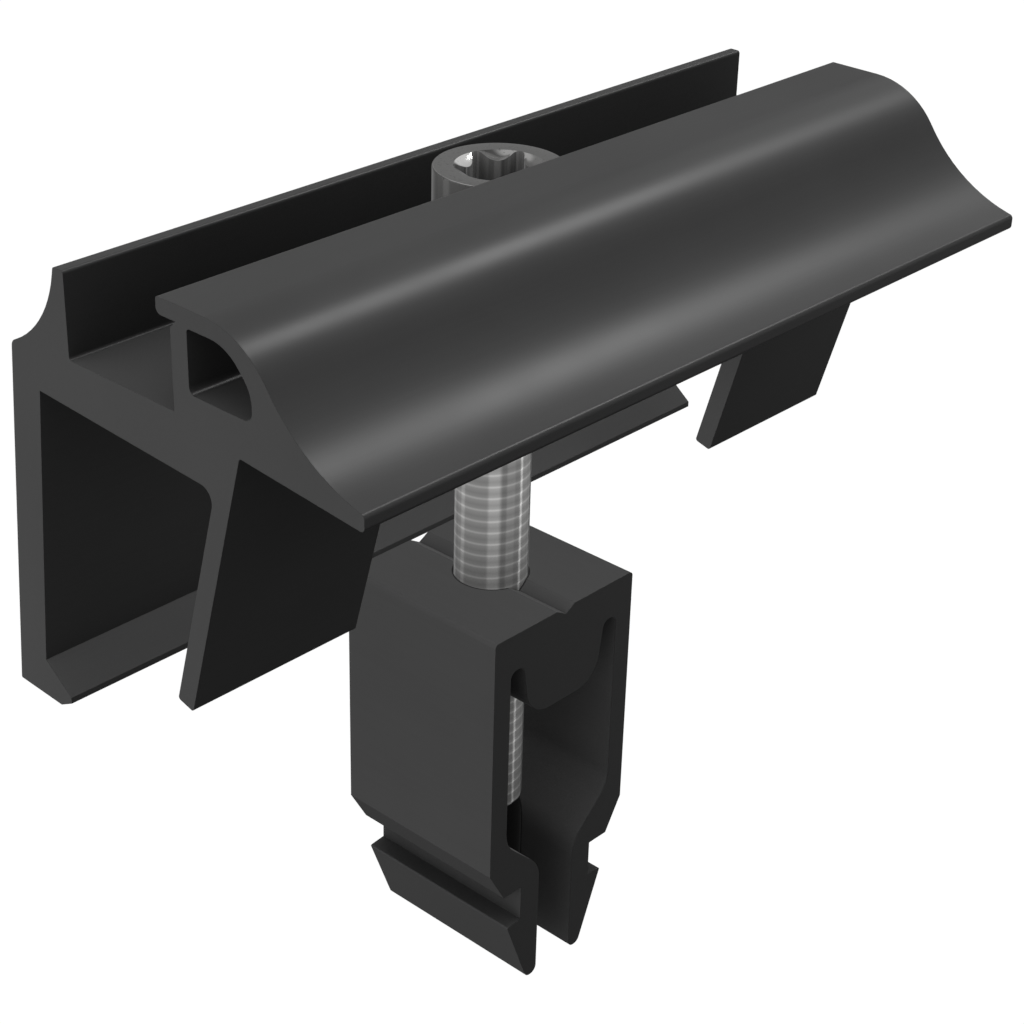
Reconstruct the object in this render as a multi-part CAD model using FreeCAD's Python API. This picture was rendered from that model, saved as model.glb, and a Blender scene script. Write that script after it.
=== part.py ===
"""Solar end clamp: an extruded clamp body, its cap screw and the click-in nut block below it.

Millimetres. +Z is up along the screw. +X points to the solar module that the wing holds down.
+Y runs along the extruded clamp body. The origin is on the screw's axis, at the height of the
rail's top face, where the nut block's shoulders stand. The clamp stands high above the rail,
as it does before the screw is tightened.
"""
import FreeCAD, Part
import math
import os

# Clamp body, along Y
CLAMP_LENGTH = 92.0
NOTCH_LENGTH = 53.0          # cut-out in the slanted leg, which lets the rail and the nut block pass
NOTCH_TOP = 63.3
NOTCH_CORNER_RADIUS = 0.6
NOTCH_LEFT_X = 3.0
NOTCH_RIGHT_X = 17.0
PAST = 2.0                   # how far a cutting tool reaches past the face that it cuts through

# Clamp body, section: leg that stands on the rail
FOOT_OUTER = (-18.5, 31.79)  # outer corner of the leg's foot
FOOT_SLOPE = math.radians(2.8)
LEG_LEAN = math.radians(5.2)
LEG_WIDTH = 3.95             # measured level
LIP_TIP_X = -10.65           # inward lip at the foot of the leg
LIP_TIP_LOW_Z = 32.36
LIP_TIP_HIGH_Z = 32.98
LIP_ROOT_Z = 35.65
LIP_BEVEL_X = -12.3
SHOULDER_Z = 68.15
SHOULDER_RADIUS = 0.9

# Clamp body, section: fin beside the screw channel
FIN_TOP_Z = 77.1
FIN_OUTER_X = -8.3
FIN_ROOT = (-9.55, 71.05)   # where the tangents of the fin's hollow back cross
FIN_BACK_RADIUS = 11.5

# Clamp body, section: channel for the screw's head, and the web below it
CHANNEL_LEFT_X = -6.9
CHANNEL_RIGHT_X = 7.0
CHANNEL_FLOOR_Z = 68.95
WEB_LEFT_Z = 64.5            # underside of the web at the leg
WEB_SLOPE = math.radians(3.1)
WEB_FILLET = 1.4
SCREW_HOLE_RADIUS = 4.5

# Clamp body, section: slanted leg on the module side
SLANT = math.radians(15.2)
SLANT_THICKNESS = 2.05
SLANT_FOOT = (7.43, 39.9)    # outer corner of its foot

# Clamp body, section: wing
WING_TOP_Z = 78.65
WING_LIP_X = 5.3             # edge of the wing that overhangs the channel
WING_LIP_UNDER_Z = 77.1
RELIEF = 0.7                 # small groove below the lip, at the top of the thin wall
CREST_START_X = 11.15        # the flat top ends here, and the S-curve starts
CREST_RADIUS = 9.0
HOLLOW_RADIUS = 17.6
CREST_SLOPE = math.radians(54.5)
TIP_SLOPE = math.radians(13.2)
WING_TIP_X = 29.3
WING_ROOT_Z = 67.5           # wing's underside at the slanted leg
WING_UNDER_SLOPE = math.radians(4.8)
TIP_RADIUS = 0.45
EDGE_RADIUS = 0.3

# Clamp body, section: hollow chamber under the wing's crest
CHAMBER_LEFT_X = 9.05
CHAMBER_RIGHT_X = 16.65
CHAMBER_TOP_Z = 76.95
CHAMBER_FLOOR_Z = 71.18
CHAMBER_SLOPE_TOP_X = 13.87
CHAMBER_SLOPE_END_Z = 73.78
CHAMBER_LOW_LEFT_RADIUS = 0.7
CHAMBER_HIGH_LEFT_RADIUS = 0.35
CHAMBER_CREST_RADIUS = 4.5   # follows the wing's crest
CHAMBER_BACK_RADIUS = 3.2
CHAMBER_LOW_RIGHT_RADIUS = 0.9

# Cap screw, M8 x 65, six-lobe socket
SCREW_LENGTH = 65.0
THREAD_RADIUS = 3.9
THREAD_END_CHAMFER = 0.8
HEAD_RADIUS = 6.5
HEAD_HEIGHT = 8.0
HEAD_EDGE_RADIUS = 0.2
HEAD_FOOT_CHAMFER = 0.3
SOCKET_DEPTH = 4.0
SOCKET_TIP_RADIUS = 4.47     # to the ends of the six lobes
SOCKET_RIDGE_RADIUS = 3.22   # to the six inward ridges
LOBE_ROUND = 0.68
SOCKET_TURN = math.radians(46.5)
SINK_RADIUS = 4.42           # countersink between the lobes
SINK_SLOPE = math.radians(30.0)

# Nut block, extruded along X
BLOCK_LENGTH = 21.1          # along X
BLOCK_WIDTH = 20.96          # along Y
BLOCK_TOP_Z = 32.5
BLOCK_EDGE_RADIUS = 0.5
V_HALF_WIDTH = 1.37          # centring groove along the top
V_DEPTH = 0.77
BORE_RADIUS = 3.97
ARM_INNER_Y = 8.1
ARM_TAPER_TOP_Z = 3.9        # the arm's outer face turns in here, down to the shoulder
SHOULDER_Y = 8.23
WAIST_Y = 5.53               # waist between the rail's lips
WAIST_BOTTOM_Z = -4.3
HOOK_TIP = (7.55, -4.5)
FOOT_BOTTOM_Z = -13.05
FOOT_BOTTOM_Y = 4.27
FOOT_INNER_Y = 2.7
FOOT_ROUND = 0.88
RAMP_LOW_Z = 1.53            # inner ramp from the wide space above to the gap between the feet
RAMP_HIGH_Z = 6.68
RAMP_LOW_RADIUS = 4.0
RAMP_HIGH_RADIUS = 3.6
SLOT_TOP_Z = 28.2            # slots beside the boss, which free the arms
SLOT_ROUND = 0.9
BOSS_TOP_Y = 6.15
BOSS_BOTTOM_Y = 5.1
BOSS_BOTTOM_Z = 21.45
BOSS_RADIUS = 3.5


def rounded_wire(corners, place):
    """Closed wire through (a, b, radius) corners, each rounded by an arc; place maps (a, b) to 3-D."""
    edges = []
    first = None
    last = None
    count = len(corners)
    for i, (a, b, radius) in enumerate(corners):
        corner = place(a, b)
        before = (place(*corners[i - 1][:2]) - corner).normalize()
        after = (place(*corners[(i + 1) % count][:2]) - corner).normalize()
        half = before.getAngle(after) / 2
        reach = radius / math.tan(half)
        start = corner + before * reach
        end = corner + after * reach
        if last is None:
            first = start
        elif (start - last).Length > 1e-4:
            edges.append(Part.LineSegment(last, start).toShape())
        else:
            start = last
        if radius > 0:
            middle = corner + (before + after).normalize() * (radius / math.sin(half) - radius)
            edges.append(Part.Arc(start, middle, end).toShape())
        last = end
    edges.append(Part.LineSegment(last, first).toShape())
    return Part.Wire(edges)


def extrude_along_y(corners, length):
    """Solid with the section given as (x, z, radius) corners, centred on y = 0."""
    wire = rounded_wire(corners, lambda x, z: FreeCAD.Vector(x, -length / 2, z))
    return Part.Face(wire).extrude(FreeCAD.Vector(0, length, 0))


def extrude_along_x(corners, length):
    """Solid with the section given as (y, z, radius) corners, centred on x = 0."""
    wire = rounded_wire(corners, lambda y, z: FreeCAD.Vector(-length / 2, y, z))
    return Part.Face(wire).extrude(FreeCAD.Vector(length, 0, 0))


def upright_cylinder(radius, low_z, high_z):
    return Part.makeCylinder(radius, high_z - low_z, FreeCAD.Vector(0, 0, low_z))


def leg_outer_x(z):
    return FOOT_OUTER[0] + (z - FOOT_OUTER[1]) * math.tan(LEG_LEAN)


def web_under_z(x):
    return WEB_LEFT_Z - (x - leg_outer_x(WEB_LEFT_Z) - LEG_WIDTH) * math.tan(WEB_SLOPE)


def slant_outer_x(z):
    return SLANT_FOOT[0] + (z - SLANT_FOOT[1]) * math.tan(SLANT)


def leg_corners():
    """The fin's top, down its hollow back and the leaning leg, to the web's underside."""
    bevel_z = FOOT_OUTER[1] - (LIP_BEVEL_X - FOOT_OUTER[0]) * math.tan(FOOT_SLOPE)
    return [
        (CHANNEL_LEFT_X, FIN_TOP_Z, EDGE_RADIUS),
        (FIN_OUTER_X, FIN_TOP_Z, EDGE_RADIUS),
        (*FIN_ROOT, FIN_BACK_RADIUS),
        (leg_outer_x(SHOULDER_Z), SHOULDER_Z, SHOULDER_RADIUS),
        (*FOOT_OUTER, EDGE_RADIUS / 2),
        (LIP_BEVEL_X, bevel_z, EDGE_RADIUS),
        (LIP_TIP_X, LIP_TIP_LOW_Z, 0),
        (LIP_TIP_X, LIP_TIP_HIGH_Z, 0),
        (leg_outer_x(LIP_ROOT_Z) + LEG_WIDTH, LIP_ROOT_Z, 0),
        (leg_outer_x(WEB_LEFT_Z) + LEG_WIDTH, WEB_LEFT_Z, 0),
    ]


def slanted_leg_corners():
    """From the web's underside, down and up the thin slanted leg, to the root of the wing."""
    foot_x, foot_z = SLANT_FOOT
    inner_x = foot_x - SLANT_THICKNESS * math.cos(SLANT)
    inner_z = foot_z + SLANT_THICKNESS * math.sin(SLANT)
    height = (web_under_z(inner_x) - inner_z) / (1 + math.tan(SLANT) * math.tan(WEB_SLOPE))
    return [
        (inner_x + height * math.tan(SLANT), inner_z + height, WEB_FILLET),
        (inner_x, inner_z, EDGE_RADIUS),
        (foot_x, foot_z, EDGE_RADIUS),
        (slant_outer_x(WING_ROOT_Z), WING_ROOT_Z, EDGE_RADIUS),
    ]


def wing_corners():
    """The wing: its tip, the S-curve of two tangent arcs, the flat top and the lip."""
    wing_width = WING_TIP_X - slant_outer_x(WING_ROOT_Z)
    tip_low_z = WING_ROOT_Z - wing_width * math.tan(WING_UNDER_SLOPE)
    crest_reach = CREST_RADIUS * math.tan(CREST_SLOPE / 2)
    hollow_reach = HOLLOW_RADIUS * math.tan((CREST_SLOPE - TIP_SLOPE) / 2)
    crest_x = CREST_START_X + crest_reach
    hollow_x = crest_x + (crest_reach + hollow_reach) * math.cos(CREST_SLOPE)
    hollow_z = WING_TOP_Z - (crest_reach + hollow_reach) * math.sin(CREST_SLOPE)
    tip_high_z = hollow_z - (WING_TIP_X - hollow_x) * math.tan(TIP_SLOPE)
    return [
        (WING_TIP_X, tip_low_z, TIP_RADIUS),
        (WING_TIP_X, tip_high_z, TIP_RADIUS),
        (hollow_x, hollow_z, HOLLOW_RADIUS),
        (crest_x, WING_TOP_Z, CREST_RADIUS),
        (WING_LIP_X, WING_TOP_Z, EDGE_RADIUS),
        (WING_LIP_X, WING_LIP_UNDER_Z, 2 * EDGE_RADIUS),
        (CHANNEL_RIGHT_X + RELIEF, WING_LIP_UNDER_Z, 0),
        (CHANNEL_RIGHT_X, WING_LIP_UNDER_Z - RELIEF, 0),
        (CHANNEL_RIGHT_X, CHANNEL_FLOOR_Z, 0),
        (CHANNEL_LEFT_X, CHANNEL_FLOOR_Z, EDGE_RADIUS),
    ]


def chamber():
    """The hollow under the crest: flat floor and left side, with a back that follows the wing."""
    corners = [
        (CHAMBER_LEFT_X, CHAMBER_FLOOR_Z, CHAMBER_LOW_LEFT_RADIUS),
        (CHAMBER_LEFT_X, CHAMBER_TOP_Z, CHAMBER_HIGH_LEFT_RADIUS),
        (CHAMBER_SLOPE_TOP_X, CHAMBER_TOP_Z, CHAMBER_CREST_RADIUS),
        (CHAMBER_RIGHT_X, CHAMBER_SLOPE_END_Z, CHAMBER_BACK_RADIUS),
        (CHAMBER_RIGHT_X, CHAMBER_FLOOR_Z, CHAMBER_LOW_RIGHT_RADIUS),
    ]
    return extrude_along_y(corners, CLAMP_LENGTH + 2 * PAST)


def notch():
    """The window milled out of the slanted leg, with rounded upper corners."""
    low_z = SLANT_FOOT[1] - PAST
    width = NOTCH_RIGHT_X - NOTCH_LEFT_X
    corner = FreeCAD.Vector(NOTCH_LEFT_X, -NOTCH_LENGTH / 2, low_z)
    block = Part.makeBox(width, NOTCH_LENGTH, NOTCH_TOP - low_z, corner)
    top_edges = [edge for edge in block.Edges if edge.BoundBox.ZMin > NOTCH_TOP - PAST]
    across = [edge for edge in top_edges if edge.BoundBox.XLength > width / 2]
    return block.makeFillet(NOTCH_CORNER_RADIUS, across)


def clamp_body():
    section = leg_corners() + slanted_leg_corners() + wing_corners()
    body = extrude_along_y(section, CLAMP_LENGTH)
    body = body.cut(chamber())
    body = body.cut(notch())
    return body.cut(upright_cylinder(SCREW_HOLE_RADIUS, NOTCH_TOP - PAST, CHANNEL_FLOOR_Z + PAST))


def socket():
    """The six-lobe socket and the countersink round it, cut down from the head's top face."""
    top_z = CHANNEL_FLOOR_Z + HEAD_HEIGHT
    floor_z = top_z - SOCKET_DEPTH
    lobe_centre = SOCKET_TIP_RADIUS - LOBE_ROUND
    angle = math.pi / 6
    # The ridge arc touches the lobe arc, which gives the ridge's own radius.
    offset = SOCKET_RIDGE_RADIUS - lobe_centre * math.cos(angle)
    height = lobe_centre * math.sin(angle)
    ridge_round = (height ** 2 + offset ** 2 - LOBE_ROUND ** 2) / (2 * (LOBE_ROUND - offset))
    ridge_centre = SOCKET_RIDGE_RADIUS + ridge_round
    share = LOBE_ROUND / (LOBE_ROUND + ridge_round)

    def at(radius, turn):
        turn = turn + SOCKET_TURN
        return FreeCAD.Vector(radius * math.cos(turn), radius * math.sin(turn), floor_z)

    edges = []
    for k in range(6):
        turn = 2 * angle * k
        lobe = at(lobe_centre, turn)
        before = lobe + (at(ridge_centre, turn - angle) - lobe) * share
        after = lobe + (at(ridge_centre, turn + angle) - lobe) * share
        following = at(lobe_centre, turn + 2 * angle)
        ridge_end = following + (at(ridge_centre, turn + angle) - following) * share
        edges.append(Part.Arc(before, at(SOCKET_TIP_RADIUS, turn), after).toShape())
        edges.append(Part.Arc(after, at(SOCKET_RIDGE_RADIUS, turn + angle), ridge_end).toShape())
    lobes = Part.Face(Part.Wire(edges)).extrude(FreeCAD.Vector(0, 0, SOCKET_DEPTH + PAST))
    sink_depth = SINK_RADIUS * math.tan(SINK_SLOPE)
    sink = Part.makeCone(0, SINK_RADIUS, sink_depth, FreeCAD.Vector(0, 0, top_z - sink_depth))
    return lobes.fuse(sink)


def cap_screw():
    """Head and shank in one turned profile; the shank has the thread's outer diameter."""
    top_z = CHANNEL_FLOOR_Z + HEAD_HEIGHT
    end_z = CHANNEL_FLOOR_Z - SCREW_LENGTH
    corners = [
        (0, top_z, 0),
        (HEAD_RADIUS, top_z, HEAD_EDGE_RADIUS),
        (HEAD_RADIUS, CHANNEL_FLOOR_Z + HEAD_FOOT_CHAMFER, 0),
        (HEAD_RADIUS - HEAD_FOOT_CHAMFER, CHANNEL_FLOOR_Z, 0),
        (THREAD_RADIUS, CHANNEL_FLOOR_Z, 0),
        (THREAD_RADIUS, end_z + THREAD_END_CHAMFER, 0),
        (THREAD_RADIUS - THREAD_END_CHAMFER, end_z, 0),
        (0, end_z, 0),
    ]
    wire = rounded_wire(corners, lambda r, z: FreeCAD.Vector(r, 0, z))
    turned = Part.Face(wire).revolve(FreeCAD.Vector(0, 0, 0), FreeCAD.Vector(0, 0, 1), 360)
    return turned.cut(socket())


def nut_block():
    """The click-in block: threaded boss between two springy arms that end in hooked feet."""
    half = BLOCK_WIDTH / 2
    right = [
        (V_HALF_WIDTH, BLOCK_TOP_Z, 0),
        (half, BLOCK_TOP_Z, BLOCK_EDGE_RADIUS),
        (half, ARM_TAPER_TOP_Z, 0),
        (SHOULDER_Y, 0, 0),
        (WAIST_Y, 0, 0),
        (WAIST_Y, WAIST_BOTTOM_Z, 0),
        (*HOOK_TIP, EDGE_RADIUS / 2),
        (FOOT_BOTTOM_Y, FOOT_BOTTOM_Z, FOOT_ROUND),
        (FOOT_INNER_Y, FOOT_BOTTOM_Z, FOOT_ROUND),
        (FOOT_INNER_Y, RAMP_LOW_Z, RAMP_LOW_RADIUS),
        (ARM_INNER_Y, RAMP_HIGH_Z, RAMP_HIGH_RADIUS),
        (ARM_INNER_Y, SLOT_TOP_Z, SLOT_ROUND),
        (BOSS_TOP_Y, SLOT_TOP_Z, SLOT_ROUND),
        (BOSS_BOTTOM_Y, BOSS_BOTTOM_Z, BOSS_RADIUS),
    ]
    left = [(-y, z, radius) for y, z, radius in reversed(right)]
    section = [(0, BLOCK_TOP_Z - V_DEPTH, 0)] + right + left
    block = extrude_along_x(section, BLOCK_LENGTH)
    return block.cut(upright_cylinder(BORE_RADIUS, FOOT_BOTTOM_Z - PAST, BLOCK_TOP_Z + PAST))


def main():
    os.makedirs("parts", exist_ok=True)
    nodes = {"clamp_body": clamp_body(), "cap_screw": cap_screw(), "nut_block": nut_block()}
    for name, shape in nodes.items():
        shape = shape.Solids[0] if len(shape.Solids) == 1 else shape
        box = shape.BoundBox
        print(name, shape.isValid(), len(shape.Solids), round(shape.Volume, 1),
              [round(v, 2) for v in (box.XMin, box.XMax, box.YMin, box.YMax, box.ZMin, box.ZMax)])
        shape.exportStep("parts/" + name + ".step")


main()
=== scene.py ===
"""The solar end clamp as the photograph shows it.

Black anodised extrusions and a bare steel cap screw stand in a white studio. Lengths are in metres,
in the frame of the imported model. Names that end in _MM are millimetres.
"""

import bmesh
import bpy
import math
from mathutils import Matrix, Vector


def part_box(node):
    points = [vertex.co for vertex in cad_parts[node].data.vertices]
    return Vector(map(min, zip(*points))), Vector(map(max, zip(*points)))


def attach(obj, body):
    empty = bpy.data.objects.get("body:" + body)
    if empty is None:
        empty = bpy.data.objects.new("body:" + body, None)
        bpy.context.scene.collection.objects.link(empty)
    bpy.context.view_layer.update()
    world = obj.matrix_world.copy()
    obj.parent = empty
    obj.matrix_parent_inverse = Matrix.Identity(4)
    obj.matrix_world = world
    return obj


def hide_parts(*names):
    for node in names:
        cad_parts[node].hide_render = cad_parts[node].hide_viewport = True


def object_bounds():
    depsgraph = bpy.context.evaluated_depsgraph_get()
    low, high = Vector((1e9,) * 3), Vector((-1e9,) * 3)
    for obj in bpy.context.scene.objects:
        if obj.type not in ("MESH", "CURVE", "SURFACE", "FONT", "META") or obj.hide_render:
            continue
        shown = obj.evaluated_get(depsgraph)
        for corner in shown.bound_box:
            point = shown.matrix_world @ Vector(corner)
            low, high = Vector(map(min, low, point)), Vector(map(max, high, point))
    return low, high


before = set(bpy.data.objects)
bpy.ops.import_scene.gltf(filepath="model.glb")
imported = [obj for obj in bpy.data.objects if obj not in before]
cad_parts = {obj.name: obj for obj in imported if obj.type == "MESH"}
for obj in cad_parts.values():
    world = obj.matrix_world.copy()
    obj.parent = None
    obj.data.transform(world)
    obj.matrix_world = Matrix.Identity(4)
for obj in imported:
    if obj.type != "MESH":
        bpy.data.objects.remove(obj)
CAD_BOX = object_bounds()
MM = 0.001
DEGREES = 180 / math.pi      # degrees in a radian
EVEN = (1, 1, 1)             # a noise that isn't drawn out
WHITE = (1, 1, 1, 1)

# The photograph's camera, seen from the part
CAMERA_AZIMUTH = math.radians(42.133)
CAMERA_ELEVATION = math.radians(28.400)
CAMERA_ROLL = math.radians(1.570)
CAMERA_PLACE_MM = (137.364, -148.809, 149.006)
CAMERA_LENS_MM = 78.61
SENSOR_WIDTH_MM = 36.0
CLIP_START = 0.01
CLIP_END = 50.0

# Head of the cap screw
HEAD_RADIUS_MM = 6.5
HEAD_HEIGHT_MM = 8.0
HEAD_EDGE_MM = 0.22
HEAD_EDGE_STEPS = 6
HEAD_FOOT_MM = 0.3
SINK_RADIUS_MM = 4.42        # countersink between the lobes of the socket
SINK_SLOPE = math.radians(30.0)
SINK_EDGE_MM = 0.04          # the broken edges of the countersink
SOCKET_TIP_MM = 4.47         # to the ends of the six lobes
SOCKET_RIDGE_MM = 3.22       # to the six inward ridges
SOCKET_LOBE_ROUND_MM = 0.68
SOCKET_DEPTH_MM = 4.0
SOCKET_TURN = math.radians(46.5)
SIXTH = math.radians(60)

# Rings down the countersink: share of its width, and drop as a share of the broken edge
SINK_RINGS = (
    (0.0, 0.25),
    (0.5, 0.25),
    (0.97, 0.25),
    (1.0, 0.75),
)

# Shank of the cap screw
THREAD_RADIUS_MM = 3.9
THREAD_LENGTH_MM = 64.9
THREAD_PITCH_MM = 1.32       # spacing of the rings that show in the photograph
THREAD_PHASE = 0.72          # share of a pitch by which the thread is turned
THREAD_END_CHAMFER_MM = 0.8
COLUMNS = 216                # points round each ring of the screw
WELD = 1e-7                  # points closer than this are one
SHARP_ANGLE = math.radians(35)

# One pitch of the thread: height as a share of the pitch, and depth below the crest in millimetres
THREAD_PROFILE = (
    (0.00, 0.000),
    (0.08, 0.002),
    (0.16, 0.004),
    (0.40, 0.006),
    (0.65, 0.006),
    (0.84, 0.004),
    (0.92, 0.002),
)
# One pitch of the thread: height as a share of the pitch, and brightness of the metal, which is a painted
# highlight along the crests and painted shade on the flats
THREAD_PAINTED_HIGHLIGHTS = (
    (0.00, 1.62),
    (0.06, 1.40),
    (0.15, 1.04),
    (0.45, 0.88),
    (0.85, 1.12),
    (0.94, 1.40),
    (1.00, 1.62),
)

# Noises: how many features each has in a millimetre, and how much fine detail
CLOUDS_PER_MM = 0.06
DIE_LINES_PER_MM = 3.0
DIE_LINE_STRETCH = 60        # how much longer than wide the die lines are
GRAIN_PER_MM = 9.0
STEEL_CLOUDS_PER_MM = 0.5
STEEL_SPECKS_PER_MM = 4.0
PITS_PER_MM = 3.0
TURNING_PER_MM = 6.0
TURNING_STRETCH = (30, 30, 1)
FULL_DETAIL = 3.0
SOME_DETAIL = 2.0
LITTLE_DETAIL = 1.0
NOISE_SPAN = (0.3, 0.7)      # nearly all values of a noise lie in here
NOISE_MIDDLE = 0.5

# Anodised finish
CLAMP_GREY = (0.055, 0.061)
BLOCK_GREY = (0.052, 0.058)
LINES_IN_GREY = 0.3          # share of the die lines in the grey, beside the clouds
GRAIN_IN_BUMP = 0.4          # share of the grain in the bump, beside the die lines
ANODISED_ROUGHNESS = (0.31, 0.35)
ANODISED_IOR = 1.15
ANODISED_BUMP = 0.05
ANODISED_BUMP_MM = 0.03
ANODISED_EDGE_MM = 0.08      # how far the shading rounds the edges
BEVEL_SAMPLES = 3
# Painted shade: ambient occlusion darkens the base colour in hollows, as the lamps cast no shadows
OPEN_REACH_MM = 20.0         # how far a wall still shades its neighbour
CLAMP_SHADE = 1.25           # how strongly the painted shade darkens hollows
BLOCK_SHADE = 2.0
BORE_RADIUS_MM = 4.1
BORE_PAINTED_SHADE = 0.3              # painted shade: brightness of the bore's wall in the block, against the outside
BORE_ROUGHNESS = 0.75

# Steel finish
STEEL_DARK = (0.600, 0.596, 0.588, 1)
STEEL_LIGHT = (0.630, 0.626, 0.618, 1)
STEEL_ROUGHNESS = (0.11, 0.14)
STEEL_BUMP = 0.04
STEEL_BUMP_MM = 0.02
# Painted shade in the steel's hollows: how far it reaches and how strongly it darkens
STEEL_REACH_MM = 10.0
STEEL_SHADE = 1.2
HEAD_SIDE_SHADE = 0.45        # painted shade: brightness of the metal on the head's side and in its socket
SOCKET_SHADE = 0.78
PIT_SPAN = (0.60, 0.68)      # values of the noise from the rim of a small pit to its bottom
PIT_SHADE = 0.22             # how much darker the pits in the head's face are
OPEN_SAMPLES = 5

# Floor, and the even light from above that reaches the part
AMBIENT = 0.10
AMBIENT_FADE = (-0.4, 0.2)   # heights of the directions between which it fades in
FLOOR_AMBIENT = 0.02         # brightness of the floor for the part
FLOOR_GLOW = 0.95            # share of the floor's look that no light changes
FLOOR_STRENGTH = 1.02
FLOOR_COLOUR = (0.9, 0.9, 0.9, 1)
FLOOR_GAP_MM = 0.3
FLOOR_HALF = 3.0

# What shiny surfaces see. Azimuths are in degrees, counted like the angle of a point (x, y)
GLOSS_LEVEL = 0.325
LOW_GLOSS = 0.20             # share of that brightness straight down
LOW_GLOSS_FADE = (-0.66, -0.5)
SOFT_SHARE = 0.6             # a panel has its full brightness within this share of its half width
PANELS = (                   # azimuth of the middle, half width, brightness
    (-148, 10, 0.48),
    (-42, 22, 0.50),
    (-11, 10, 0.23),
    (15, 6, 0.32),
    (34, 12, 0.26),
    (50, 5, 0.80),
    (89, 12, 0.28),
    (133, 20, 0.205),
    (113, 14, 0.12),
    (179, 9, 0.27),
)
SPOTS = (                    # direction, half width in degrees, brightness
    ((-0.17, 0.84, 0.52), 23, 1.08),
    ((-0.45, 0.05, 0.89), 24, 0.70),
)

# Distant lamps: name, direction, strength, width in degrees, whether shiny surfaces show it. Front lights
# the near ends of the extrusions, back the tops and the wing's highlight, right the wing's side of the
# part, and rear the far side of the leg
LAMPS = (
    ("front", (-0.30, -0.89, 0.34), 0.95 * math.pi, 40.0, False),
    ("back", (0.051, 0.652, 0.756), 1.72, 12.0, True),
    ("right", (0.76, -0.10, 0.64), 0.245 * math.pi, 40.0, False),
    ("rear", (-0.80, 0.60, 0.0), 0.55 * math.pi, 40.0, False),
)


# Shader nodes

def feed(tree, socket, value):
    """Sets a socket to a value, or links it to the socket that feeds it."""
    if isinstance(value, bpy.types.NodeSocket):
        tree.links.new(value, socket)
    else:
        socket.default_value = value


def linked(tree, kind, **inputs):
    """A new shader node; each named input is a value, or the socket that feeds it."""
    node = tree.nodes.new(kind)
    for name, value in inputs.items():
        feed(tree, node.inputs[name.replace("_", " ")], value)
    return node


def maths(tree, operation, *values):
    """The output of a Math node on values or sockets."""
    node = tree.nodes.new("ShaderNodeMath")
    node.operation = operation
    for socket, value in zip(node.inputs, values):
        feed(tree, socket, value)
    return node.outputs[0]


def mixture(tree, first, second, share):
    """Two values mixed, with a share of the second."""
    parts = maths(tree, "MULTIPLY", first, 1 - share), maths(tree, "MULTIPLY", second, share)
    return maths(tree, "ADD", *parts)


def map_range(tree, value, start, end, smooth=False):
    """Maps the span start onto the span end, held at both ends."""
    node = linked(tree, "ShaderNodeMapRange", Value=value, From_Min=start[0], From_Max=start[1],
                  To_Min=end[0], To_Max=end[1])
    if smooth:
        node.interpolation_type = "SMOOTHSTEP"
    return node.outputs["Result"]


def ramp(tree, factor, stops):
    """A colour ramp of greys; stops are (position, brightness) pairs."""
    node = linked(tree, "ShaderNodeValToRGB", Fac=factor)
    elements = node.color_ramp.elements
    while len(elements) < len(stops):
        elements.new(1.0)
    for element, (position, level) in zip(elements, stops):
        element.position = position
        element.color = (level, level, level, 1.0)
    return node.outputs["Color"]


def stretched_noise(tree, stretch, per_mm, detail=FULL_DETAIL):
    """Noise in the part's own coordinates, drawn out along the axes of stretch."""
    place = tree.nodes.new("ShaderNodeTexCoord").outputs["Object"]
    mapping = linked(tree, "ShaderNodeMapping", Vector=place)
    mapping.inputs["Scale"].default_value = [per_mm / (MM * s) for s in stretch]
    noise = linked(tree, "ShaderNodeTexNoise", Vector=mapping.outputs["Vector"], Scale=1.0, Detail=detail)
    return noise.outputs["Fac"]


def object_place(tree):
    """The part's own coordinates, as a node with outputs X, Y and Z."""
    place = tree.nodes.new("ShaderNodeTexCoord").outputs["Object"]
    return linked(tree, "ShaderNodeSeparateXYZ", Vector=place)


def axis_radius(tree, place):
    """How far a point is from the screw's axis."""
    squares = [maths(tree, "MULTIPLY", place.outputs[axis], place.outputs[axis]) for axis in ("X", "Y")]
    return maths(tree, "SQRT", maths(tree, "ADD", *squares))


def with_painted_shade(tree, colour, level, reach, power, own):
    """A colour times level, with painted shade in hollows where ambient occlusion darkens it; with own,
    only the object's own walls count.
    """
    openness = linked(tree, "ShaderNodeAmbientOcclusion", Distance=reach * MM)
    openness.samples = OPEN_SAMPLES
    openness.only_local = own
    shade = maths(tree, "POWER", openness.outputs["AO"], power)
    scaled = linked(tree, "ShaderNodeVectorMath", Vector=colour)
    scaled.operation = "SCALE"
    tree.links.new(maths(tree, "MULTIPLY", shade, level), scaled.inputs["Scale"])
    return scaled.outputs["Vector"]


# Materials

def node_material(name):
    """A material with an empty node tree; gives the material and the tree."""
    material = bpy.data.materials.new(name)
    material.use_nodes = True
    material.node_tree.nodes.clear()
    return material, material.node_tree


def surface_material(name):
    """A material with one shader of its own; gives the material, its tree and the shader."""
    material, tree = node_material(name)
    shader = tree.nodes.new("ShaderNodeBsdfPrincipled")
    output = tree.nodes.new("ShaderNodeOutputMaterial")
    tree.links.new(shader.outputs["BSDF"], output.inputs["Surface"])
    return material, tree, shader


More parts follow.
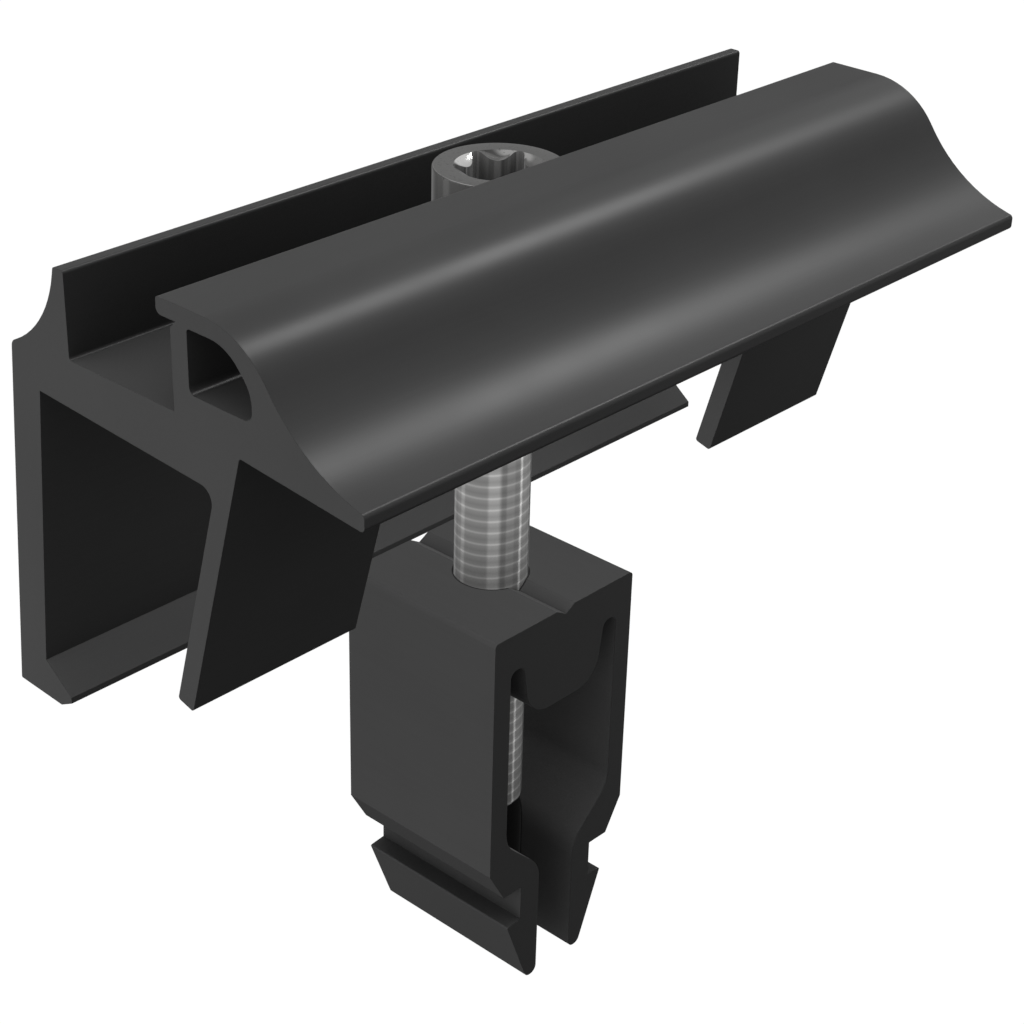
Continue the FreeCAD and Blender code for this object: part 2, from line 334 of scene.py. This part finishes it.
def anodised(name, along, greys, shade, bore_shade=1.0, bore_roughness=0.0):
    """Satin black anodised aluminium with faint die lines; a bore's wall can get painted shade and be
    rougher.
    """
    material, tree, shader = surface_material(name)
    lines = stretched_noise(tree, along, DIE_LINES_PER_MM, SOME_DETAIL)
    clouds = stretched_noise(tree, EVEN, CLOUDS_PER_MM)
    grain = stretched_noise(tree, EVEN, GRAIN_PER_MM, LITTLE_DETAIL)
    tone = ramp(tree, mixture(tree, clouds, lines, LINES_IN_GREY), list(zip(NOISE_SPAN, greys)))
    # Painted shade: the colour is darker on the bore's wall
    in_bore = maths(tree, "LESS_THAN", axis_radius(tree, object_place(tree)), BORE_RADIUS_MM * MM)
    level = maths(tree, "MULTIPLY_ADD", in_bore, bore_shade - 1.0, 1.0)
    # Painted shade in the hollows
    colour = with_painted_shade(tree, tone, level, OPEN_REACH_MM, shade, True)
    tree.links.new(colour, shader.inputs["Base Color"])
    roughness = map_range(tree, clouds, NOISE_SPAN, ANODISED_ROUGHNESS)
    dull = maths(tree, "MULTIPLY", in_bore, bore_roughness)
    tree.links.new(maths(tree, "MAXIMUM", roughness, dull), shader.inputs["Roughness"])
    rounded = linked(tree, "ShaderNodeBevel", Radius=ANODISED_EDGE_MM * MM)
    rounded.samples = BEVEL_SAMPLES
    bump = linked(tree, "ShaderNodeBump", Height=mixture(tree, lines, grain, GRAIN_IN_BUMP),
                  Strength=ANODISED_BUMP, Distance=ANODISED_BUMP_MM * MM, Normal=rounded.outputs["Normal"])
    tree.links.new(bump.outputs["Normal"], shader.inputs["Normal"])
    shader.inputs["IOR"].default_value = ANODISED_IOR
    return material


def painted_thread_highlights(tree, low_z):
    """Brightness of the thread: a painted highlight along the crests that climb round the shank, and
    painted shade on the flats.
    """
    place = object_place(tree)
    angle = maths(tree, "ARCTAN2", place.outputs["Y"], place.outputs["X"])
    turn = maths(tree, "MULTIPLY", angle, 0.5 / math.pi)
    start = low_z / THREAD_PITCH_MM + THREAD_PHASE
    climb = maths(tree, "MULTIPLY_ADD", place.outputs["Z"], 1 / (THREAD_PITCH_MM * MM), -start)
    phase = maths(tree, "FRACT", maths(tree, "SUBTRACT", climb, turn))
    # Painted highlight on the crests, painted shade on the flats
    half_tone = ramp(tree, phase, [(position, level / 2) for position, level in THREAD_PAINTED_HIGHLIGHTS])
    change = maths(tree, "MULTIPLY_ADD", half_tone, 2.0, -1.0)
    on_thread = maths(tree, "LESS_THAN", place.outputs["Z"], (low_z + THREAD_LENGTH_MM) * MM)
    return maths(tree, "ADD", 1.0, maths(tree, "MULTIPLY", on_thread, change))


def socket_mask(tree, seat_z):
    """1 in the socket and its countersink, 0 elsewhere."""
    place = object_place(tree)
    above_seat = maths(tree, "GREATER_THAN", place.outputs["Z"], seat_z * MM)
    within = maths(tree, "LESS_THAN", axis_radius(tree, place), SINK_RADIUS_MM * MM)
    return maths(tree, "MULTIPLY", above_seat, within)


def head_pits_and_painted_shade(tree, in_socket, seat_z):
    """Brightness of the head: a pitted face, with painted shade on the side and in the socket."""
    place = object_place(tree)
    edge_radius = (HEAD_RADIUS_MM - HEAD_EDGE_MM / 2) * MM
    on_side = maths(tree, "GREATER_THAN", axis_radius(tree, place), edge_radius)
    # Painted shade on the head's side
    side = maths(tree, "MULTIPLY_ADD", on_side, HEAD_SIDE_SHADE - 1.0, 1.0)
    pits = map_range(tree, stretched_noise(tree, EVEN, PITS_PER_MM, SOME_DETAIL), PIT_SPAN, (0.0, 1.0))
    face_z = seat_z + HEAD_HEIGHT_MM - HEAD_EDGE_MM
    on_face = maths(tree, "GREATER_THAN", place.outputs["Z"], face_z * MM)
    pitted = maths(tree, "MULTIPLY", maths(tree, "MULTIPLY", on_face, -PIT_SHADE), pits)
    pits_with_side_shade = maths(tree, "ADD", side, pitted)
    # Painted shade in the socket
    return maths(tree, "MULTIPLY_ADD", in_socket, SOCKET_SHADE - 1.0, pits_with_side_shade)


def steel(name, low_z, seat_z):
    """Bare steel: turned on the head's outside, smooth in its socket, rolled on the thread. Its colour
    carries painted highlights on the thread's crests and painted shade in hollows, on the head's side and
    in its socket.
    """
    material, tree, shader = surface_material(name)
    clouds = stretched_noise(tree, EVEN, STEEL_CLOUDS_PER_MM)
    specks = stretched_noise(tree, EVEN, STEEL_SPECKS_PER_MM)
    turned = stretched_noise(tree, TURNING_STRETCH, TURNING_PER_MM, SOME_DETAIL)
    tone = linked(tree, "ShaderNodeMix")
    tone.data_type = "RGBA"
    tone.inputs["A"].default_value = STEEL_DARK
    tone.inputs["B"].default_value = STEEL_LIGHT
    tree.links.new(clouds, tone.inputs["Factor"])
    in_socket = socket_mask(tree, seat_z)
    level = maths(tree, "MULTIPLY", painted_thread_highlights(tree, low_z), head_pits_and_painted_shade(tree, in_socket, seat_z))
    # Painted shade in the hollows
    colour = with_painted_shade(tree, tone.outputs["Result"], level, STEEL_REACH_MM, STEEL_SHADE, False)
    tree.links.new(colour, shader.inputs["Base Color"])
    roughness = map_range(tree, specks, NOISE_SPAN, STEEL_ROUGHNESS)
    tree.links.new(roughness, shader.inputs["Roughness"])
    outside = maths(tree, "SUBTRACT", 1.0, in_socket)
    height = maths(tree, "MULTIPLY", maths(tree, "SUBTRACT", turned, NOISE_MIDDLE), outside)
    bump = linked(tree, "ShaderNodeBump", Height=height, Strength=STEEL_BUMP, Distance=STEEL_BUMP_MM * MM)
    tree.links.new(bump.outputs["Normal"], shader.inputs["Normal"])
    shader.inputs["Metallic"].default_value = 1.0
    return material


def dress(node, material):
    """Gives a CAD node its material."""
    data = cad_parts[node].data
    if not data.materials:
        data.materials.append(material)
    for index in range(len(data.materials)):
        data.materials[index] = material


# Cap screw

def socket_radius(angle):
    """The six-lobe socket's wall at an angle: a lobe's arc, then the arc of the ridge beside it."""
    lobe = SOCKET_LOBE_ROUND_MM
    turn = abs((angle - SOCKET_TURN + SIXTH / 2) % SIXTH - SIXTH / 2)
    lobe_centre = SOCKET_TIP_MM - lobe
    offset = SOCKET_RIDGE_MM - lobe_centre * math.cos(SIXTH / 2)
    height = lobe_centre * math.sin(SIXTH / 2)
    ridge_round = (height ** 2 + offset ** 2 - lobe ** 2) / (2 * (lobe - offset))
    ridge_centre = SOCKET_RIDGE_MM + ridge_round
    share = lobe / (lobe + ridge_round)
    touch_x = lobe_centre + (ridge_centre * math.cos(SIXTH / 2) - lobe_centre) * share
    touch_y = ridge_centre * math.sin(SIXTH / 2) * share
    if turn < math.atan2(touch_y, touch_x):
        return lobe_centre * math.cos(turn) + math.sqrt(lobe ** 2 - (lobe_centre * math.sin(turn)) ** 2)
    turn = SIXTH / 2 - turn
    reach = math.sqrt(ridge_round ** 2 - (ridge_centre * math.sin(turn)) ** 2)
    return ridge_centre * math.cos(turn) - reach


def ring(mesh, radius_at, z_at):
    """A ring of vertices; radius and height are functions of the angle, in millimetres."""
    made = []
    for column in range(COLUMNS):
        angle = 2 * math.pi * column / COLUMNS
        radius = radius_at(angle)
        place = (radius * math.cos(angle), radius * math.sin(angle), z_at(angle))
        made.append(mesh.verts.new([value * MM for value in place]))
    return made


def level_ring(mesh, radius, z):
    """A round ring at one height."""
    return ring(mesh, lambda angle: radius, lambda angle: z)


def join_rings(mesh, lower, upper):
    """A band of faces between two rings."""
    for column in range(COLUMNS):
        after = (column + 1) % COLUMNS
        mesh.faces.new((lower[column], lower[after], upper[after], upper[column]))


def close_ring(mesh, loop, z, upwards):
    """A fan of triangles from a ring to a point on the axis."""
    centre = mesh.verts.new((0, 0, z * MM))
    for column in range(COLUMNS):
        corners = (loop[column], loop[(column + 1) % COLUMNS], centre)
        mesh.faces.new(corners if upwards else corners[::-1])


def head_outline(seat_z):
    """The head's side as (radius, height): the bevelled foot, and the turned edge in small steps."""
    top_z = seat_z + HEAD_HEIGHT_MM
    outline = [(HEAD_RADIUS_MM - HEAD_FOOT_MM, seat_z), (HEAD_RADIUS_MM, seat_z + HEAD_FOOT_MM)]
    for step in range(HEAD_EDGE_STEPS + 1):
        turn = math.pi / 2 * step / HEAD_EDGE_STEPS
        outline.append((HEAD_RADIUS_MM - HEAD_EDGE_MM * (1 - math.cos(turn)),
                        top_z - HEAD_EDGE_MM * (1 - math.sin(turn))))
    return outline


def head_rings(mesh, seat_z):
    """The head from its seat up over the edge, down the countersink and the socket, as rings."""
    top_z = seat_z + HEAD_HEIGHT_MM
    floor_z = top_z - SOCKET_DEPTH_MM
    rings = [level_ring(mesh, radius, z) for radius, z in head_outline(seat_z)]

    def mouth(angle):
        return max(SINK_RADIUS_MM, socket_radius(angle) + SINK_EDGE_MM)

    def cone_z(radius):
        return top_z - max(0.0, SINK_RADIUS_MM - radius) * math.tan(SINK_SLOPE)

    rings.append(ring(mesh, lambda angle: mouth(angle) + SINK_EDGE_MM, lambda angle: top_z))
    for share, drop in SINK_RINGS:
        def between(angle):
            return mouth(angle) + (socket_radius(angle) - mouth(angle)) * share
        rings.append(ring(mesh, between, lambda angle: cone_z(between(angle)) - SINK_EDGE_MM * drop))
    rings.append(ring(mesh, socket_radius, lambda angle: floor_z))
    return rings, floor_z


def thread_rings(mesh, low_z, high_z):
    """The right-hand thread: rows that climb one pitch each turn, cut off level at both ends."""
    points = len(THREAD_PROFILE)
    turns = math.ceil((high_z - low_z) / THREAD_PITCH_MM) + 2    # with one past each end
    rows = []
    for row in range(turns * points):
        share, depth = THREAD_PROFILE[row % points]
        start_z = low_z + (row // points - 1 + share + THREAD_PHASE) * THREAD_PITCH_MM

        def height(angle):
            return min(max(start_z + THREAD_PITCH_MM * angle / (2 * math.pi), low_z), high_z)

        def radius(angle):
            z = height(angle)
            fade = min(1.0, (high_z - z) / THREAD_PITCH_MM)
            tip = THREAD_RADIUS_MM - max(0.0, THREAD_END_CHAMFER_MM - (z - low_z))
            return min(THREAD_RADIUS_MM - depth * fade, tip)

        rows.append(ring(mesh, radius, height))
    last = COLUMNS - 1
    for lower, upper in zip(rows, rows[1:]):
        for column in range(last):
            mesh.faces.new((lower[column], lower[column + 1], upper[column + 1], upper[column]))
    for row in range(len(rows) - 1 - points):
        above = row + points
        mesh.faces.new((rows[row][last], rows[above][0], rows[above + 1][0], rows[row + 1][last]))


def screw_mesh(low_z, seat_z):
    """The screw as one closed mesh: thread, end, head, countersink and socket."""
    mesh = bmesh.new()
    thread_rings(mesh, low_z, seat_z)
    seat = level_ring(mesh, THREAD_RADIUS_MM, seat_z)
    tip = level_ring(mesh, THREAD_RADIUS_MM - THREAD_END_CHAMFER_MM, low_z)
    close_ring(mesh, tip, low_z, False)
    rings, floor_z = head_rings(mesh, seat_z)
    for lower, upper in zip([seat] + rings, rings):
        join_rings(mesh, lower, upper)
    close_ring(mesh, rings[-1], floor_z, True)
    bmesh.ops.remove_doubles(mesh, verts=mesh.verts, dist=WELD)
    bmesh.ops.dissolve_degenerate(mesh, edges=mesh.edges, dist=WELD)
    bmesh.ops.recalc_face_normals(mesh, faces=mesh.faces)
    data = bpy.data.meshes.new("cap_screw_threaded")
    mesh.to_mesh(data)
    mesh.free()
    data.shade_smooth()
    data.set_sharp_from_angle(angle=SHARP_ANGLE)
    return data


def build_screw():
    """The cap screw with its thread, in place of the CAD screw, whose shank is plain."""
    lowest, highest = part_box("cap_screw")
    low_z = lowest.z / MM
    seat_z = highest.z / MM - HEAD_HEIGHT_MM
    data = screw_mesh(low_z, seat_z)
    screw = bpy.data.objects.new("cap_screw_threaded", data)
    bpy.context.scene.collection.objects.link(screw)
    data.materials.append(steel("steel", low_z, seat_z))
    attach(screw, "screw")
    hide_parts("cap_screw")
    screw.visible_glossy = False


# Camera and studio

def camera_axes():
    """The camera's right, up and backward directions."""
    back = Vector((math.sin(CAMERA_AZIMUTH) * math.cos(CAMERA_ELEVATION),
                   -math.cos(CAMERA_AZIMUTH) * math.cos(CAMERA_ELEVATION),
                   math.sin(CAMERA_ELEVATION)))
    right = Vector((math.cos(CAMERA_AZIMUTH), math.sin(CAMERA_AZIMUTH), 0))
    up = back.cross(right)
    rolled_right = right * math.cos(CAMERA_ROLL) + up * math.sin(CAMERA_ROLL)
    rolled_up = up * math.cos(CAMERA_ROLL) - right * math.sin(CAMERA_ROLL)
    return rolled_right, rolled_up, back


def make_camera():
    """The camera that took the photograph."""
    data = bpy.data.cameras.new("camera")
    data.sensor_width = SENSOR_WIDTH_MM
    data.lens = CAMERA_LENS_MM
    data.clip_start = CLIP_START
    data.clip_end = CLIP_END
    camera = bpy.data.objects.new("camera", data)
    bpy.context.scene.collection.objects.link(camera)
    place = Vector(CAMERA_PLACE_MM) * MM
    camera.matrix_world = Matrix.Translation(place) @ Matrix(camera_axes()).transposed().to_4x4()
    bpy.context.scene.camera = camera


def blend(tree, level, away, half, brightness):
    """Fades level over to brightness where away comes under half, fully at its middle part."""
    near = map_range(tree, away, (half, half * SOFT_SHARE), (0.0, 1.0), smooth=True)
    change = maths(tree, "SUBTRACT", brightness, level)
    return maths(tree, "MULTIPLY_ADD", near, change, level)


def studio_gloss(tree, direction):
    """What shiny surfaces see: an even grey with brighter and darker panels, dim straight below."""
    split = linked(tree, "ShaderNodeSeparateXYZ", Vector=direction)
    angle = maths(tree, "ARCTAN2", split.outputs["Y"], split.outputs["X"])
    turn = maths(tree, "MULTIPLY", angle, DEGREES)
    level = GLOSS_LEVEL
    for middle, half, brightness in PANELS:
        away = maths(tree, "WRAP", maths(tree, "SUBTRACT", turn, middle), 180.0, -180.0)
        level = blend(tree, level, maths(tree, "ABSOLUTE", away), half, brightness)
    for towards, half, brightness in SPOTS:
        dot = linked(tree, "ShaderNodeVectorMath", Vector=direction)
        dot.operation = "DOT_PRODUCT"
        dot.inputs[1].default_value = Vector(towards).normalized()
        away = maths(tree, "MULTIPLY", maths(tree, "ARCCOSINE", dot.outputs["Value"]), DEGREES)
        level = blend(tree, level, away, half, brightness)
    tilt = map_range(tree, split.outputs["Z"], LOW_GLOSS_FADE, (LOW_GLOSS, 1.0), smooth=True)
    return maths(tree, "MULTIPLY", level, tilt)


def make_world():
    """White for the camera, an even dim light for the part, the studio for what it reflects."""
    world = bpy.data.worlds.new("studio")
    bpy.context.scene.world = world
    world.use_nodes = True
    tree = world.node_tree
    tree.nodes.clear()
    rays = tree.nodes.new("ShaderNodeLightPath").outputs
    direction = tree.nodes.new("ShaderNodeTexCoord").outputs["Generated"]
    shiny = maths(tree, "MAXIMUM", rays["Is Glossy Ray"], rays["Is Transmission Ray"])
    height = linked(tree, "ShaderNodeSeparateXYZ", Vector=direction).outputs["Z"]
    ambient = maths(tree, "MULTIPLY", map_range(tree, height, AMBIENT_FADE, (0.0, 1.0)), AMBIENT)
    difference = maths(tree, "SUBTRACT", studio_gloss(tree, direction), ambient)
    level = maths(tree, "MULTIPLY_ADD", shiny, difference, ambient)
    level = maths(tree, "MAXIMUM", level, rays["Is Camera Ray"])
    background = linked(tree, "ShaderNodeBackground", Strength=level, Color=WHITE)
    output = tree.nodes.new("ShaderNodeOutputWorld")
    tree.links.new(background.outputs["Background"], output.inputs["Surface"])


def mixed_shader(tree, factor, first, second):
    """Two shaders mixed; factor is the share of the second."""
    mix = linked(tree, "ShaderNodeMixShader", Fac=factor)
    tree.links.new(first.outputs[0], mix.inputs[1])
    tree.links.new(second.outputs[0], mix.inputs[2])
    return mix


def floor_material():
    """Nearly an even white for the camera, and dim for the part."""
    material, tree = node_material("floor")
    rays = tree.nodes.new("ShaderNodeLightPath").outputs
    plain = linked(tree, "ShaderNodeBsdfDiffuse", Color=FLOOR_COLOUR)
    white = linked(tree, "ShaderNodeEmission", Strength=FLOOR_STRENGTH)
    dim = linked(tree, "ShaderNodeEmission", Strength=FLOOR_AMBIENT)
    seen = mixed_shader(tree, FLOOR_GLOW, plain, white)
    shown = mixed_shader(tree, rays["Is Camera Ray"], dim, seen)
    output = tree.nodes.new("ShaderNodeOutputMaterial")
    tree.links.new(shown.outputs[0], output.inputs["Surface"])
    return material


def make_floor():
    """A pale floor just below the part."""
    z = CAD_BOX[0][2] - FLOOR_GAP_MM * MM
    corners = [(-FLOOR_HALF, -FLOOR_HALF, z), (FLOOR_HALF, -FLOOR_HALF, z),
               (FLOOR_HALF, FLOOR_HALF, z), (-FLOOR_HALF, FLOOR_HALF, z)]
    data = bpy.data.meshes.new("floor")
    data.from_pydata(corners, [], [(0, 1, 2, 3)])
    data.materials.append(floor_material())
    floor = bpy.data.objects.new("floor", data)
    bpy.context.scene.collection.objects.link(floor)
    floor.visible_glossy = False


def make_sun(name, towards, strength, width, shines):
    """A distant lamp without shadows that shines from a direction; without shines it has no highlight."""
    data = bpy.data.lights.new(name, "SUN")
    data.energy = strength
    data.angle = math.radians(width)
    data.use_shadow = False
    light = bpy.data.objects.new(name, data)
    bpy.context.scene.collection.objects.link(light)
    light.rotation_euler = Vector(towards).to_track_quat("Z", "Y").to_euler()
    light.location = Vector(towards).normalized()
    light.visible_glossy = shines


make_camera()
make_world()
make_floor()
for lamp in LAMPS:
    make_sun(*lamp)
for node in ("clamp_body", "nut_block"):
    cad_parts[node].visible_glossy = False
dress("clamp_body", anodised("anodised_clamp", (1, DIE_LINE_STRETCH, 1), CLAMP_GREY, CLAMP_SHADE))
dress("nut_block", anodised("anodised_block", (DIE_LINE_STRETCH, 1, 1), BLOCK_GREY, BLOCK_SHADE,
                            BORE_PAINTED_SHADE, BORE_ROUGHNESS))
build_screw()

bpy.context.scene.view_settings.view_transform = "Standard"
